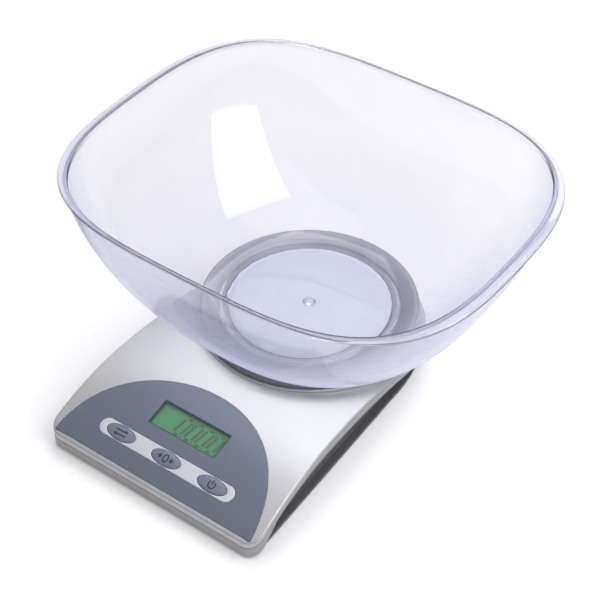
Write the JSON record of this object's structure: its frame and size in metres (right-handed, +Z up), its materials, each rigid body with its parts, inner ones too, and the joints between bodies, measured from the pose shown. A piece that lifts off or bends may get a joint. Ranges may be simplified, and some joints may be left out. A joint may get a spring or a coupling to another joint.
{
  "type": "kitchen scale",
  "caption": "Electronic kitchen scale with an arched silver base, backlit green display, three oval buttons, a round weighing platform and a clear lift-off mixing bowl.",
  "frame": {"origin": "on the table, below the middle of the overall box", "axes": "+X to the right along the front edge, -Y towards the control panel, +Z up"},
  "size_m": [0.251, 0.2462, 0.1266],
  "materials": {
    "cover_silver": "satin",
    "band_silver": "satin",
    "housing_dark": "matt",
    "panel_blue_grey": "satin",
    "strip_silver": "satin",
    "button_blue_grey": "satin",
    "display_lens": "gloss",
    "lcd_glass": "gloss",
    "lcd_dark": "matt",
    "lcd_green": "satin",
    "white_plastic": "matt",
    "elastomer": "matt",
    "circuit_board": "satin",
    "black_plastic": "matt",
    "steel": "satin",
    "cell_aluminium": "satin",
    "gauge_lacquer": "satin",
    "platform_grey": "satin",
    "bowl_clear": "gloss",
    "battery_case": "satin",
    "lead_red": "satin",
    "cable_grey": "satin",
    "rubber_black": "matt"
  },
  "bodies": {
    "base": {"top_cover": "cover_silver", "edge_band": "band_silver", "bottom_housing": "housing_dark", "control_panel": "panel_blue_grey", "button_strip": "strip_silver", "display_window": "display_lens", "lcd_glass": "lcd_glass", "lcd_digits": "lcd_dark", "lcd_backlight": "lcd_green", "lcd_frame": "white_plastic", "lcd_connector": "elastomer", "main_board": "circuit_board", "chip_cover": "black_plastic", "tact_switches": "black_plastic", "board_screws": "steel", "load_cell": "cell_aluminium", "gauge_coat": "gauge_lacquer", "cell_spacer": "steel", "cell_screws": "steel", "battery": "battery_case", "battery_snap": "black_plastic", "battery_leads": "lead_red", "cell_cable": "cable_grey", "housing_screws": "steel", "rubber_feet": "rubber_black"},
    "unit_button": {"unit_button": "button_blue_grey"},
    "tare_button": {"tare_button": "button_blue_grey"},
    "power_button": {"power_button": "button_blue_grey"},
    "platform": {"platform": "platform_grey", "platform_screws": "steel", "platform_carrier": "steel", "carrier_screws": "steel"},
    "bowl": {"bowl": "bowl_clear"},
    "battery_door": {"battery_door": "housing_dark"}
  },
  "joints": [
    {"name": "unit_button_press", "type": "slide", "parent": "base", "child": "unit_button", "axis": [0, 0.271, -0.9626], "range_m": [0, 0.0006], "stiffness_N_per_m": 2000, "springref_m": -0.0001},
    {"name": "tare_button_press", "type": "slide", "parent": "base", "child": "tare_button", "axis": [0, 0.271, -0.9626], "range_m": [0, 0.0006], "stiffness_N_per_m": 2000, "springref_m": -0.0001},
    {"name": "power_button_press", "type": "slide", "parent": "base", "child": "power_button", "axis": [0, 0.271, -0.9626], "range_m": [0, 0.0006], "stiffness_N_per_m": 2000, "springref_m": -0.0001},
    {"name": "weighing", "type": "slide", "parent": "base", "child": "platform", "axis": [0, 0, -1], "range_m": [0, 0.0004], "stiffness_N_per_m": 40000, "springref_m": -0.00025, "deforming": ["load_cell"]},
    {"name": "bowl_lift", "type": "slide", "parent": "platform", "child": "bowl", "axis": [0, 0, 1], "range_m": [0, 0.12]},
    {"name": "battery_door_hinge", "type": "hinge", "parent": "base", "child": "battery_door", "pos_m": [0, -0.03535, 0.0036], "axis": [1, 0, 0], "range_deg": [0, 95]}
  ]
}
